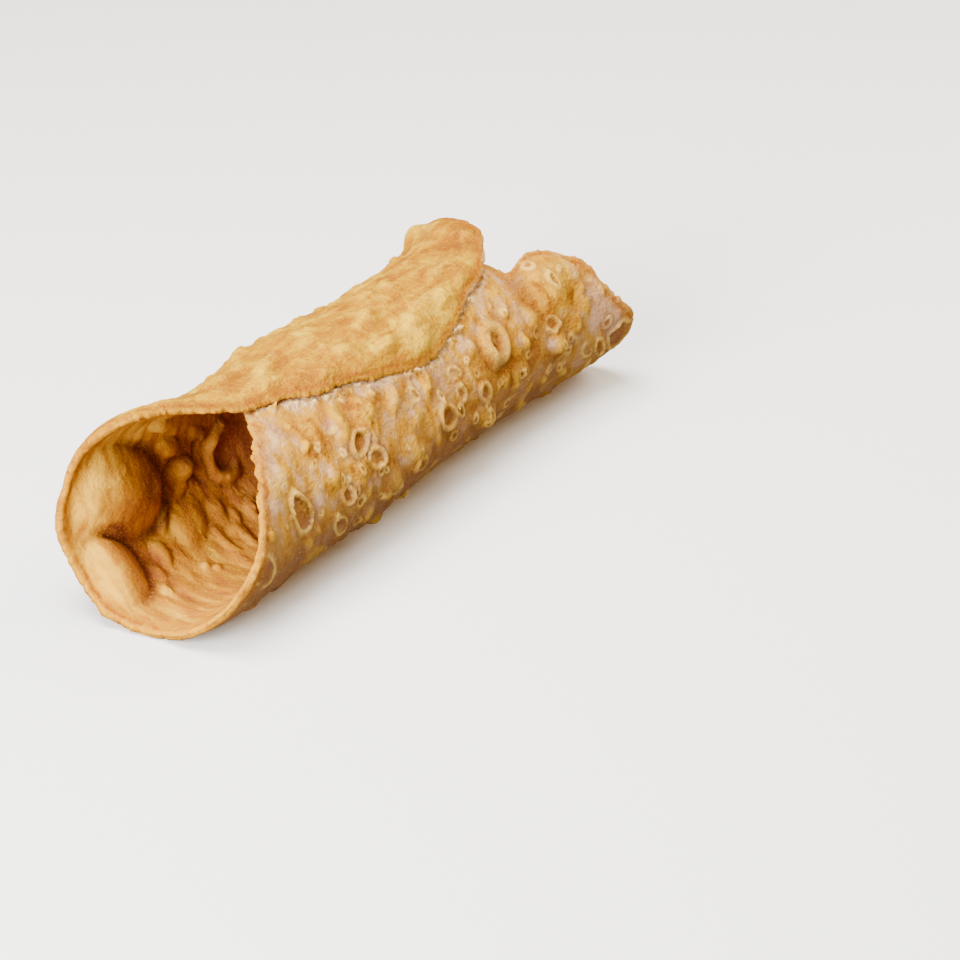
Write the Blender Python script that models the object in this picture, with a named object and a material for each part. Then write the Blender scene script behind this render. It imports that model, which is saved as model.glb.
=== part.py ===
"""A fried pastry shell: one disc of dough rolled round a tube, its far flap lapping over the near one."""
import math

import bmesh
import bpy
import numpy as np

# Sizes are in millimetres and turns in degrees, and MM brings them to metres.
MM = 0.001

# The disc of dough. A turn of 0 lies on the table, 90 is the far side and 180 the top.
LENGTH = 125.0
WALL = 2.3
HALF_TURN = 214.0
MIDDLE_TURN = 10.5
EDGE_BLUNTNESS = 1.94
LAP_GAP = 0.55
LIP_ROUNDING = 0.45

# The roll, from the mouth at 0 along to the tail.
ROLL_RADIUS = 16.8
MOUTH_FLARE = 2.1
MOUTH_FLARE_AT = 5.0
MOUTH_FLARE_REACH = 12.0
BELLY_SWELL = 0.4
BELLY_AT = 47.0
BELLY_REACH = 13.0
TAIL_FLARE = 4.8
TAIL_FLARE_FROM = 90.0

# The flap's far corner stands up by this much from a place along and a turn on, each over a stretch.
FAR_CORNER_LIFT = 1.4
CORNER_FROM = 92.0
CORNER_STRETCH = 12.0
CORNER_TURN = 115.0
CORNER_TURN_STRETCH = 30.0

# The flap's edge gapes near the mouth.
FLAP_EDGE_LIFT = 0.8
GAPE_AT = 32.0
GAPE_REACH = 16.0
GAPE_TURN = 190.0
GAPE_TURN_STRETCH = 25.0

# The slow unevenness of the roll: each wave's height and length, and how it shifts round the roll.
SWELL_HEIGHT = 0.30
SWELL_LENGTH = 7.5
SWELL_TWIST = 1.1
SWELL_PHASE = 0.5
DRIFT_HEIGHT = 0.25
DRIFT_LENGTH = 12.0

# The underside is even, this many degrees to each side, and lies almost flat on the table.
UNDERSIDE_REACH = 24.0
FLAT_SPOT = 0.32

# Three small nubs carry it, so that it stands without rocking: along, across, and their height.
NUBS = [(10.0, -5.0), (10.0, 5.0), (113.0, 0.9)]
NUB_HEIGHT = 0.12

# Where round the roll the two flaps part, and how softly a covered skin's blisters die out.
LAP_STARTS = 85.0
LAP_TURN = 80.0
COVERED_START = 3.0
COVERED_SPREAD = 9.0

# The blisters' shapes: how full a big one is, and where a burst one's rim stands and how wide.
FULLNESS = 2.6
DOME_SPREAD = 1.15
RIM_AT = 0.95
RIM_WIDTH = 0.26
FLOOR_SLOPE = 0.4

# How the hand-cut edge leaves a true oval: place round the edge, its reach, and its share of the size.
EDGE_WAVES = [
    (-150, 9, -0.011), (-122, 9, 0.029), (-52, 3.2, -0.062), (-44, 9, 0.045), (-36, 9, 0.013),
    (-20, 9, 0.063), (40, 9, -0.100), (54, 5, 0.025), (61, 5, 0.022), (68, 5, -0.008),
    (83, 6, 0.016), (105, 9, -0.014), (130, 9, 0.050), (145, 9, 0.139), (160, 9, 0.089),
    (175, 9, 0.024),
]

# The fine ripple of the cut: how many waves go round the edge, their share of the size, and their start.
EDGE_RIPPLES = [(17.0, 0.004, 0.0), (29.0, 0.003, 1.0)]

# Where the search for a flap's edge stops short of its two ends, and how many places it looks at.
EDGE_END_GAP = 0.02
EDGE_STEPS = 400

# Burst blisters: along, turn, half length, half width, lean, rim height, floor depth.
BURST_BLISTERS = [
    (40.5, -115, 2.6, 2.1, -37, 0.7, 0.7),
    (43.5, -100, 2.7, 1.9, 33, 0.7, 0.7),
    (65.5, -96, 3.0, 2.3, 54, 0.7, 0.8),
    (22.0, -98, 4.2, 3.1, 80, 0.7, 0.9),
    (9.5, -77, 5.4, 3.2, 47, 0.5, 0.9),
    (33.5, -71, 3.6, 1.8, 57, 0.5, 0.6),
    (35.0, -92, 2.0, 1.4, 70, 0.5, 0.4),
    (72.0, -101, 2.0, 1.7, 65, 0.6, 0.5),
    (78.5, -93, 2.5, 1.7, 40, 0.7, 0.6),
    (70.5, -117, 1.8, 1.4, 12, 0.6, 0.4),
    (86.0, -117, 2.7, 1.3, -71, 0.6, 1.9),
    (120.0, -69, 4.8, 2.4, 42, 0.5, 1.2),
]

# Closed blisters on the outside: along, turn, half length, half width, lean, height.
OUTER_BLISTERS = [
    (106.0, -128, 8.5, 8.0, 20, 1.7),
    (84.4, -115, 5.4, 4.9, -5, 2.2),
    (97.0, -122, 3.0, 2.3, 79, 1.3),
    (101.0, -93, 3.2, 2.4, 39, 1.6),
    (92.5, -109, 2.4, 2.0, 14, 1.0),
    (90.5, -131, 3.0, 2.2, 0, 0.9),
    (78.0, -72, 7.0, 3.4, 36, 1.5),
    (98.0, -72, 3.2, 1.6, 38, 0.9),
    (105.0, -66, 4.0, 1.6, 43, 0.9),
    (29.5, -131, 2.4, 1.7, -30, 0.8),
    (45.5, -127, 5.6, 3.4, -36, 1.3),
    (52.5, -116, 4.8, 2.5, -48, 1.1),
    (62.5, -121, 3.6, 2.2, -26, 0.9),
    (55.0, -84, 8.0, 5.0, 30, 1.2),
    (27.0, -60, 6.0, 5.0, 30, 0.9),
    (18.0, -120, 7.0, 4.5, -30, 0.8),
    (98.5, 140, 5.5, 3.6, -47, 2.0),
    (35.5, 174, 4.6, 3.2, -7, 1.1),
    (71.0, 205, 3.0, 2.2, -6, 0.9),
    (83.5, 199, 4.2, 3.0, 0, 0.8),
    (61.5, 195, 4.4, 2.6, 11, 0.7),
    (50.0, 150, 6.0, 4.0, 20, 0.8),
    (20.0, 95, 6.0, 5.0, 0, 1.0),
    (44.0, 62, 7.0, 5.0, 40, 1.1),
    (68.0, 100, 6.0, 4.0, -30, 1.0),
    (90.0, 60, 6.5, 5.0, 15, 1.2),
    (108.0, 96, 5.5, 4.0, 60, 1.0),
]

# Blisters and folds on the inside, the same way.
INNER_BLISTERS = [
    (11.0, 88, 9.8, 9.2, -48, 6.6),
    (4.2, 44, 8.4, 4.8, 82, 3.6),
    (15.5, 41, 2.6, 2.0, 0, 1.6),
    (29.5, 80, 4.0, 3.0, -36, 3.0),
    (38.0, 84, 4.6, 1.7, 76, 1.8),
    (21.5, 127, 4.6, 2.2, -37, 2.2),
    (26.0, 101, 3.6, 2.2, -37, 2.4),
    (13.0, 34, 3.4, 1.4, 68, 1.1),
    (9.5, 15, 2.4, 1.2, 90, 0.7),
    (27.0, 43, 5.0, 1.6, 70, 0.8),
    (33.0, 20, 5.5, 1.8, 75, 0.8),
    (22.0, 18, 6.0, 1.6, 80, 0.7),
    (60.0, 10, 8.0, 5.0, 20, 1.0),
    (80.0, -40, 6.0, 4.0, 0, 1.2),
    (98.0, 40, 6.0, 4.0, 30, 1.4),
    (104.0, -80, 6.0, 5.0, 30, 1.2),
]
VALLEYS = [
    (97.5, -138, 9.0, 2.8, 84, 1.2),
    (32.5, -106, 8.0, 2.2, -75, 0.6),
]

# The dough's plain crust colour, and how rough it is.
CRUST_COLOR = (0.62, 0.36, 0.13, 1.0)
CRUST_ROUGHNESS = 0.6

# The grid of the disc before it is rolled, and how much of it is kept.
CELLS_ALONG = 120
CELLS_ROUND = 112
KEPT_SHARE = 0.205


def ease(share):
    """A step from 0 to 1 with soft ends."""
    share = np.clip(share, 0.0, 1.0)
    return share * share * (3.0 - 2.0 * share)


def hump(distance):
    return np.exp(-distance * distance)


def roll_radius(along):
    """Radius of the roll's middle surface, flared at the mouth and the tail."""
    mouth = MOUTH_FLARE * hump((along - MOUTH_FLARE_AT) / MOUTH_FLARE_REACH)
    belly = BELLY_SWELL * hump((along - BELLY_AT) / BELLY_REACH)
    reach = LENGTH - TAIL_FLARE_FROM
    tail = TAIL_FLARE * (np.maximum(along - TAIL_FLARE_FROM, 0.0) / reach) ** 2
    return ROLL_RADIUS + mouth + belly + tail


def lap_step(turn):
    """The upper flap stands out by half a wall and gap, the lower one in by as much."""
    step = (WALL + LAP_GAP) / 2.0
    return step * (ease((turn - LAP_STARTS) / LAP_TURN) - ease((-turn - LAP_STARTS) / LAP_TURN))


def flap_lift(along, turn):
    """The flap's far corner stands up, and its edge near the mouth gapes."""
    near_corner = ease((along - CORNER_FROM) / CORNER_STRETCH)
    corner = FAR_CORNER_LIFT * near_corner * ease((turn - CORNER_TURN) / CORNER_TURN_STRETCH)
    near_edge = ease((turn - GAPE_TURN) / GAPE_TURN_STRETCH)
    gape = FLAP_EDGE_LIFT * near_edge * hump((along - GAPE_AT) / GAPE_REACH)
    return corner + gape


def slow_waves(along, turn):
    """The slow unevenness of a shell that fried freely."""
    angle = np.radians(turn)
    swell = SWELL_HEIGHT * np.sin(along / SWELL_LENGTH + SWELL_TWIST * np.sin(angle))
    swell = swell * np.cos(2.0 * angle + SWELL_PHASE)
    drift = DRIFT_HEIGHT * np.sin(along / DRIFT_LENGTH + 2.0 * angle)
    return (swell + drift) * (1.0 - hump(turn / UNDERSIDE_REACH))


def dough_edge(way):
    """Along and turn of the disc's edge, for a way round it in radians."""
    across = np.cos(way)
    around = np.sin(way)
    power = EDGE_BLUNTNESS
    size = (np.abs(across) ** power + np.abs(around) ** power) ** (-1.0 / power)
    share = np.ones_like(way)
    for place, reach, amount in EDGE_WAVES:
        apart = np.degrees(way) - place
        apart = (apart + 180.0) % 360.0 - 180.0
        share = share + amount * hump(apart / reach)
    for waves, amount, start in EDGE_RIPPLES:
        share = share + amount * np.sin(waves * way + start)
    along = LENGTH / 2.0 * (1.0 + share * size * across)
    return along, MIDDLE_TURN + HALF_TURN * share * size * around


def disc_point(left, up, growth):
    """Along and turn for a point of the square grid, each square ring drawn out to a round one."""
    wide = np.abs(left) >= np.abs(up)
    reach = np.maximum(np.abs(left), np.abs(up))
    safe = np.maximum(reach, 1e-9)
    eighth = math.pi / 4.0
    near_along = eighth * up / safe * np.sign(left) + np.where(left < 0.0, math.pi, 0.0)
    near_round = math.pi / 2.0 * np.sign(up) - eighth * left / safe * np.sign(up)
    way = np.where(wide, near_along, near_round)
    edge_along, edge_turn = dough_edge(way)
    along = LENGTH / 2.0 + (edge_along - LENGTH / 2.0) * reach * growth
    return along, MIDDLE_TURN + (edge_turn - MIDDLE_TURN) * reach * growth


def flap_edge(along, side):
    """Turn of a flap's edge at each place along: side 1 is the upper flap, side -1 the lower."""
    way = side * np.linspace(EDGE_END_GAP, math.pi - EDGE_END_GAP, EDGE_STEPS)
    edge_along, edge_turn = dough_edge(way)
    order = np.argsort(edge_along)
    return np.interp(along, edge_along[order], edge_turn[order])


def blister_reach(along, turn, blister):
    """How far a point is from a blister's middle, in shares of its size."""
    middle, middle_turn, half_length, half_width, lean = blister[:5]
    forward = along - middle
    sideways = np.radians(turn - middle_turn) * roll_radius(np.asarray(middle))
    cos_lean = math.cos(math.radians(lean))
    sin_lean = math.sin(math.radians(lean))
    long_way = (forward * cos_lean + sideways * sin_lean) / half_length
    short_way = (sideways * cos_lean - forward * sin_lean) / half_width
    return np.hypot(long_way, short_way)


def domes(along, turn, blisters):
    height = np.zeros_like(along)
    for blister in blisters:
        reach = blister_reach(along, turn, blister)
        height = height + blister[5] * ease(DOME_SPREAD * (1.0 - reach))
    return height


def big_domes(along, turn, blisters):
    """Blisters with a full round top and a steep foot; where two meet, the higher one shows."""
    height = np.zeros_like(along)
    for blister in blisters:
        reach = np.minimum(blister_reach(along, turn, blister), 1.0)
        height = np.maximum(height, blister[5] * (1.0 - reach ** FULLNESS))
    return height


def craters(along, turn, blisters):
    height = np.zeros_like(along)
    for blister in blisters:
        reach = blister_reach(along, turn, blister)
        rim = blister[5] * hump((reach - RIM_AT) / RIM_WIDTH)
        floor = blister[6] * ease((RIM_AT - reach) / FLOOR_SLOPE)
        height = height + rim - floor
    return height


def outer_relief(along, turn):
    """Height of the outer skin's blisters, none where the upper flap covers them."""
    height = domes(along, turn, OUTER_BLISTERS) + craters(along, turn, BURST_BLISTERS)
    height = height - domes(along, turn, VALLEYS)
    past_edge = turn + 360.0 - flap_edge(along, 1)
    bare = ease((past_edge - COVERED_START) / COVERED_SPREAD)
    return np.where(turn < 0.0, height * bare, height)


def inner_relief(along, turn):
    """Height of the inner skin's blisters, none where the lower flap lies under it."""
    height = big_domes(along, turn, INNER_BLISTERS)
    past_edge = flap_edge(along, -1) + 360.0 - turn
    bare = ease((past_edge - COVERED_START) / COVERED_SPREAD)
    return np.where(turn > 90.0, height * bare, height)


def roll_place(along, turn, offset):
    """Where a point of the sheet comes to once it is rolled, resting on the table."""
    angle = np.radians(turn)
    axis_height = roll_radius(along) + WALL / 2.0
    radius = roll_radius(along) + lap_step(turn) + flap_lift(along, turn)
    radius = radius + slow_waves(along, turn) + offset
    across = radius * np.sin(angle)
    height = axis_height - radius * np.cos(angle)
    return np.stack([along, across, height], axis=-1)


def make_material(name, color, roughness):
    material = bpy.data.materials.new(name)
    material.use_nodes = True
    shader = material.node_tree.nodes["Principled BSDF"]
    shader.inputs["Base Color"].default_value = color
    shader.inputs["Roughness"].default_value = roughness
    return material


def clear_scene():
    for item in list(bpy.data.objects):
        bpy.data.objects.remove(item, do_unlink=True)


def flat_pancake():
    """The dough disc as a flat slab of three levels: inner skin 0, lip 0.5 and outer skin 1."""
    mesh = bmesh.new()
    bmesh.ops.create_grid(mesh, x_segments=CELLS_ALONG, y_segments=CELLS_ROUND, size=1.0)
    made = bmesh.ops.extrude_face_region(mesh, geom=list(mesh.faces), use_keep_orig=True)["geom"]
    for item in made:
        if isinstance(item, bmesh.types.BMVert):
            item.co.z = 1.0
    upright = [edge for edge in mesh.edges if edge.verts[0].co.z != edge.verts[1].co.z]
    bmesh.ops.subdivide_edges(mesh, edges=upright, cuts=1, use_grid_fill=False)
    return mesh


def rolled_sheet():
    """The pancake rolled up, with its blisters, its lip rounded outward."""
    mesh = flat_pancake()
    flat = np.array([vert.co[:] for vert in mesh.verts])
    level = flat[:, 2]
    on_lip = np.abs(level - 0.5) < 0.1
    growth = np.where(on_lip, 1.0 + 2.0 * LIP_ROUNDING / LENGTH, 1.0)
    along, turn = disc_point(flat[:, 0], flat[:, 1], growth)
    skin = level * outer_relief(along, turn) - (1.0 - level) * inner_relief(along, turn)
    places = roll_place(along, turn, (level - 0.5) * WALL + skin)
    for vert, place in zip(mesh.verts, places):
        vert.co = place
    bmesh.ops.triangulate(mesh, faces=list(mesh.faces), quad_method="BEAUTY")
    bmesh.ops.recalc_face_normals(mesh, faces=list(mesh.faces))
    return mesh


def keep_what_shows(shell):
    """Drop the points that flat stretches don't need."""
    thin = shell.modifiers.new("keep what shows", "DECIMATE")
    thin.decimate_type = "COLLAPSE"
    thin.ratio = KEPT_SHARE
    bpy.context.view_layer.objects.active = shell
    bpy.ops.object.modifier_apply(modifier=thin.name)


def rest_on_table(data):
    """Stand the roll on its nubs just over the table, with the origin under the middle of its box."""
    places = np.array([vert.co[:] for vert in data.vertices])
    height = places[:, 2] - places[:, 2].min() - FLAT_SPOT
    places[:, 2] = np.maximum(height, NUB_HEIGHT)
    for along, across in NUBS:
        distance = np.hypot(places[:, 0] - along, places[:, 1] - across)
        nub = np.argmin(distance + places[:, 2])
        places[nub] = (along, across, 0.0)
    middle = (places.min(axis=0) + places.max(axis=0)) / 2.0
    places[:, :2] -= middle[:2]
    for vert, place in zip(data.vertices, places):
        vert.co = place * MM


def build_shell():
    data = bpy.data.meshes.new("shell")
    mesh = rolled_sheet()
    mesh.to_mesh(data)
    mesh.free()
    shell = bpy.data.objects.new("shell", data)
    bpy.context.scene.collection.objects.link(shell)
    data.materials.append(make_material("fried_dough", CRUST_COLOR, CRUST_ROUGHNESS))
    keep_what_shows(shell)
    rest_on_table(data)
    return shell


clear_scene()
build_shell()
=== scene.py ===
"""The fried pastry shell dressed for its picture: blistered crust, floury bloom, toasted lips and crumbs."""
import math

import bpy
import numpy as np
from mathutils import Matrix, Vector


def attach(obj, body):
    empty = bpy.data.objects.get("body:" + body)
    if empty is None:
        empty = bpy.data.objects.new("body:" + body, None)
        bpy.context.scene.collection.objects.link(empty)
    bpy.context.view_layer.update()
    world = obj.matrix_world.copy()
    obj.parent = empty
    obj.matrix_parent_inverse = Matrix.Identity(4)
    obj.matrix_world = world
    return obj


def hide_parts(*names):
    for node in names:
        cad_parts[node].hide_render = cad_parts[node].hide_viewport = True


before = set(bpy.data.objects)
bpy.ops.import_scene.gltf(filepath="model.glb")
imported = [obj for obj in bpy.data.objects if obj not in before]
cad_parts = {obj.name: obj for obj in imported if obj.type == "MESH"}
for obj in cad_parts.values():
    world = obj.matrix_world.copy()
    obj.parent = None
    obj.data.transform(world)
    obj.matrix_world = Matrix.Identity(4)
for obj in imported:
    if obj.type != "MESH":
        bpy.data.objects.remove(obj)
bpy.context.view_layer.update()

# Lengths are in millimetres and turns in degrees. A turn of 0 lies on the table and 180 is the top.
MM = 0.001
LENGTH = 125.0
WALL = 2.3
HALF_TURN = 214.0
MIDDLE_TURN = 10.5
EDGE_BLUNTNESS = 1.94
LAP_GAP = 0.55
LIP_ROUNDING = 0.55

# The roll, from the mouth at 0 along to the tail.
ROLL_RADIUS = 16.8
MOUTH_FLARE = 2.1
MOUTH_FLARE_AT = 5.0
MOUTH_FLARE_REACH = 12.0
BELLY_SWELL = 0.4
BELLY_AT = 47.0
BELLY_REACH = 13.0
TAIL_FLARE = 4.8
TAIL_FLARE_FROM = 90.0
FAR_CORNER_LIFT = 1.4
FLAP_EDGE_LIFT = 0.8

# The underside lies still and flat where it met the tray, this many degrees to each side.
UNDERSIDE_REACH = 24.0
FLAT_SPOT = 0.32
NUBS = [(10.0, -5.0), (10.0, 5.0), (113.0, 0.9)]
NUB_HEIGHT = 0.12
NUB_REACH = 2.0

# Where round the roll the two flaps part, and how softly a covered skin's blisters die out.
LAP_STARTS = 85.0
LAP_TURN = 80.0
COVERED_START = 3.0
COVERED_SPREAD = 9.0

# How full a great blister's top is, and how far from the dough's edge the relief reaches its full height.
ROUNDNESS = 0.9
INNER_LIP_REACH = 5.0
OUTER_LIP_REACH = 1.6

# How the hand-cut edge leaves a true oval: place round the edge, its reach, and its share of the size.
EDGE_WAVES = [
    (-150, 9, -0.011), (-122, 9, 0.029), (-52, 3.2, -0.062), (-44, 9, 0.045), (-36, 9, 0.013),
    (-20, 9, 0.063), (40, 9, -0.100), (54, 5, 0.025), (61, 5, 0.022), (68, 5, -0.008),
    (83, 6, 0.016), (105, 9, -0.014), (130, 9, 0.050), (145, 9, 0.139), (160, 9, 0.089),
    (175, 9, 0.024),
]

# Burst blisters: along, turn, half length, half width, lean, rim height, floor depth.
BURST_BLISTERS = [
    (22.0, -98, 4.4, 2.7, 80, 0.6, 0.9),
    (9.5, -77, 5.4, 3.0, 47, 0.5, 0.8),
    (33.5, -71, 3.6, 1.7, 57, 0.45, 0.6),
    (70.0, -93, 1.6, 1.0, 62, 0.4, 0.4),
    (121.0, -66, 5.6, 2.9, 48, 0.5, 2.2),
    (101.8, -92, 0.9, 0.7, 40, 0.1, 0.5),
    (27.0, -91, 0.9, 0.6, 57, 0.1, 0.5),
    (44.5, -74, 1.4, 0.6, 47, 0.2, 0.5),
    (36.5, -129, 0.8, 0.5, -26, 0.1, 0.5),
    (40.0, -128, 0.5, 0.4, 0, 0.1, 0.4),
    (29.0, -119, 1.1, 0.7, -31, 0.15, 0.5),
    (113.5, -113, 0.7, 0.6, 37, 0.1, 0.7),
    (115.5, -106, 0.6, 0.5, 66, 0.1, 0.6),
    (111.5, -71, 3.0, 1.2, 55, 0.45, 0.5),
    (115.5, -67, 3.4, 1.2, 59, 0.45, 0.5),
    (19.0, -100, 0.6, 0.4, 20, 0.05, 0.3),
    (17.0, -96, 0.5, 0.4, 70, 0.05, 0.3),
    (52.0, -95, 0.7, 0.4, 40, 0.1, 0.4),
    (56.0, -90, 0.9, 0.4, 60, 0.1, 0.4),
]

# Blisters like a bent tube round a sunk middle: along, turn, half length, half width, lean, height, tube.
RING_BLISTERS = [
    (84.0, -118, 3.1, 2.7, -60, 1.2, 1.7),
    (40.5, -115, 2.2, 1.8, -45, 0.6, 0.7),
    (43.5, -101, 2.2, 1.5, 30, 0.6, 0.7),
    (65.5, -96, 2.8, 2.0, 49, 0.65, 0.8),
    (71.0, -117, 1.5, 1.0, 15, 0.5, 0.6),
    (71.0, -103, 1.5, 1.1, 70, 0.5, 0.7),
    (78.0, -94, 1.9, 1.4, 57, 0.6, 0.8),
    (34.5, -91, 1.8, 1.2, 52, 0.5, 0.6),
    (101.0, -106, 1.6, 1.2, 40, 0.5, 0.6),
    (56.0, -78, 2.2, 1.4, 40, 0.5, 0.7),
]

# Closed blisters on the outside: along, turn, half length, half width, lean, height.
OUTER_BLISTERS = [
    (106.0, -128, 8.5, 8.0, 20, 1.7),
    (83.0, -118, 5.2, 4.8, -54, 1.1),
    (96.5, -118, 4.2, 2.6, 76, 1.6),
    (101.5, -92, 4.2, 2.7, 42, 1.9),
    (92.0, -107, 2.5, 1.9, 55, 1.2),
    (91.0, -131, 2.8, 1.5, -36, 0.9),
    (88.5, -138, 2.9, 0.8, -56, 0.6),
    (78.0, -124, 2.8, 1.8, -81, 0.9),
    (78.0, -76, 6.0, 3.0, 36, 1.1),
    (98.0, -72, 3.2, 1.6, 38, 0.6),
    (105.0, -66, 4.0, 1.6, 43, 0.6),
    (29.5, -131, 2.4, 1.3, -40, 1.0),
    (45.0, -126, 5.4, 2.8, -40, 1.3),
    (53.0, -124, 5.4, 1.9, -52, 1.2),
    (63.0, -122, 4.4, 1.9, -66, 1.3),
    (39.0, -135, 5.0, 2.6, -60, 0.9),
    (57.5, -108, 4.0, 2.2, -40, 0.7),
    (55.0, -86, 7.0, 4.0, 30, 0.9),
    (27.0, -60, 6.0, 5.0, 30, 0.6),
    (18.0, -120, 7.0, 4.5, -30, 0.8),
    (98.5, 140, 5.5, 3.6, -47, 2.0),
    (36.0, 175, 4.4, 3.0, -14, 1.1),
    (79.5, 203, 4.2, 3.2, -16, 0.8),
    (68.0, 207, 4.0, 2.8, 0, 0.9),
    (58.5, 208, 4.4, 2.2, -2, 0.8),
    (66.5, 218, 3.6, 2.4, -13, 0.8),
    (50.0, 196, 5.0, 2.6, 8, 0.6),
    (47.0, 178, 6.0, 3.0, 0, 0.5),
    (84.0, 186, 5.0, 2.4, -10, 0.7),
    (27.0, 162, 5.0, 4.0, 0, 0.9),
    (50.0, 150, 6.0, 4.0, 20, 0.8),
    (20.0, 95, 6.0, 5.0, 0, 1.0),
    (44.0, 62, 7.0, 5.0, 40, 1.1),
    (68.0, 100, 6.0, 4.0, -30, 1.0),
    (90.0, 60, 6.5, 5.0, 15, 1.2),
    (108.0, 96, 5.5, 4.0, 60, 1.0),
]

# Blisters and folds on the inside, the same way; the first two are the great ones at the mouth.
INNER_BLISTERS = [
    (11.0, 87, 12.6, 10.4, -52, 5.6),
    (4.6, 42, 8.8, 5.6, 84, 3.6),
    (29.0, 80, 2.9, 2.5, -34, 2.5),
    (27.0, 69, 2.8, 1.6, 43, 0.9),
    (25.0, 103, 3.9, 2.3, -33, 1.7),
    (33.5, 98, 2.6, 1.7, -45, 1.0),
    (39.0, 56, 1.9, 1.3, -18, 1.2),
    (20.5, 131, 4.2, 2.0, -35, 1.3),
    (15.5, 38, 3.0, 1.9, 89, 1.3),
    (12.2, 27, 2.4, 1.2, 85, 0.7),
    (10.0, 15, 2.2, 1.1, 80, 0.8),
    (20.5, 14, 1.3, 1.0, 46, 0.8),
    (22.0, 8, 1.2, 1.0, 29, 0.5),
    (20.5, 58, 3.8, 1.4, 56, 1.0),
    (25.0, 46, 5.6, 4.0, 40, 1.2),
    (17.5, 62, 1.5, 0.9, 55, 1.2),
    (39.0, 30, 3.0, 1.6, 60, 0.8),
    (34.5, 30, 2.4, 1.2, 60, 0.6),
    (33.0, 18, 5.5, 1.4, 75, 0.6),
    (28.0, 16, 6.0, 1.2, 80, 0.5),
    (60.0, 10, 8.0, 5.0, 20, 1.0),
    (80.0, -40, 6.0, 4.0, 0, 1.2),
    (98.0, 40, 6.0, 4.0, 30, 1.4),
    (104.0, -80, 6.0, 5.0, 30, 1.2),
]

# A bent tube of a blister, deeper in: along, turn, half length, half width, lean, height, tube.
INNER_BOW = (40.0, 73, 4.4, 5.1, 0, 1.5, 1.5)
INNER_CREASES = [
    (23.0, 77, 8.0, 0.9, 50, 0.9),
    (7.0, 62, 3.6, 0.7, -41, 1.1),
    (33.0, 90, 4.0, 0.8, 80, 0.6),
    (31.5, 70, 3.4, 0.7, -60, 0.6),
]
VALLEYS = [
    (94.0, 179, 6.2, 0.8, 54, 0.8),
    (95.5, 184, 4.5, 0.6, 3, 0.6),
    (96.5, 153, 3.2, 0.9, -4, 0.35),
    (43.0, -138, 4.8, 0.8, -55, 0.6),
    (94.0, -103, 3.0, 1.0, -89, 0.5),
    (102.0, -83, 5.4, 0.9, 29, 0.4),
    (83.5, -104, 4.4, 0.9, 23, 0.5),
    (97.5, -138, 9.0, 2.8, 84, 1.2),
    (36.5, -136, 8.0, 1.2, -62, 0.6),
    (49.5, -126, 6.0, 0.9, -50, 0.5),
    (57.5, -126, 6.0, 0.9, -55, 0.5),
    (89.0, 180, 3.4, 0.5, -12, 0.5),
    (93.0, 184, 3.0, 0.5, -5, 0.5),
    (96.0, 176, 4.0, 0.5, -30, 0.5),
]

# Where the crust browned or kept its flour, with a few warm patches that paint shade below blisters: along,
# turn, half length, half width, lean, warmth.
CRUST_PATCHES = [
    (45.0, -132, 3.2, 2.0, -34, 0.8),
    (44.0, -121, 3.2, 2.6, 0, 1.1),
    (63.0, -122, 3.2, 1.6, -69, 0.9),
    (31.0, -130, 5.5, 2.8, 81, 0.9),
    (30.5, -122, 2.4, 1.5, 19, 1.4),
    (31.0, -101, 2.2, 1.6, -88, 0.9),
    (74.0, -70, 8.0, 3.0, 39, 0.8),
    (84.0, -107, 4.6, 3.4, -5, 1.2),
    (101.0, -112, 9.0, 4.5, 20, 1.0),
    (106.0, -130, 8.0, 6.0, 20, 0.5),
    (95.5, -112, 2.6, 1.6, 76, 0.7),
    (52.0, -82, 9.0, 4.0, 30, 0.5),
    (18.0, -122, 9.5, 2.2, -54, -1.2),
    (39.5, -152, 5.5, 2.0, 16, -1.1),
    (51.0, -140, 5.0, 1.9, 13, -1.1),
    (58.5, -133, 3.4, 2.2, -11, -1.0),
    (51.5, -113, 3.8, 3.0, -25, -0.9),
    (70.0, -125, 5.0, 3.0, -20, -0.9),
    (116.0, -98, 9.0, 6.0, 57, -2.0),
    (25.0, -145, 7.0, 4.0, 0, -0.5),
    (82.0, -107, 5.0, 1.6, 23, 1.5),
    (95.0, -121, 3.0, 1.8, 76, -2.0),
    (100.0, -95, 3.4, 2.0, 42, -1.7),
    (90.5, -109, 1.6, 1.2, 55, -1.2),
    (94.0, -103, 3.6, 1.8, -89, 1.2),
    (102.0, -82, 5.6, 1.6, 29, 1.2),
    (93.0, -95, 9.0, 1.8, 13, 0.9),
    (43.0, -138, 4.8, 1.1, -55, 1.2),
    (83.5, -117, 5.0, 4.4, -54, 1.1),
    (85.5, -121, 2.4, 1.4, -60, -0.8),
    (90.0, -126, 2.6, 1.4, 60, -0.8),
    (36.0, 177, 4.0, 2.2, -14, -1.0),
    (79.5, 203, 4.4, 3.4, -16, -0.8),
    (68.0, 207, 4.0, 3.0, 0, -1.1),
    (58.5, 208, 4.4, 2.4, -2, -0.9),
    (66.5, 220, 3.6, 2.6, -13, -1.0),
    (99.0, 150, 5.4, 2.4, -51, -1.2),
    (98.0, 169, 6.0, 3.4, 54, 1.2),
    (74.5, 220, 7.0, 2.0, -5, -0.9),
    (43.0, 205, 9.8, 1.3, 17, 0.9),
    (44.0, 182, 7.0, 1.6, 15, 0.9),
    (49.5, 190, 7.2, 1.2, 5, -0.8),
    (94.0, 179, 6.2, 1.0, 54, 1.0),
    (90.0, 184, 7.0, 3.0, -10, 0.5),
    (56.0, 189, 9.0, 1.8, 2, 0.7),
    (40.0, 196, 9.0, 2.0, 5, 0.6),
    (27.0, 205, 7.0, 2.0, 10, 0.8),
]
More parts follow.
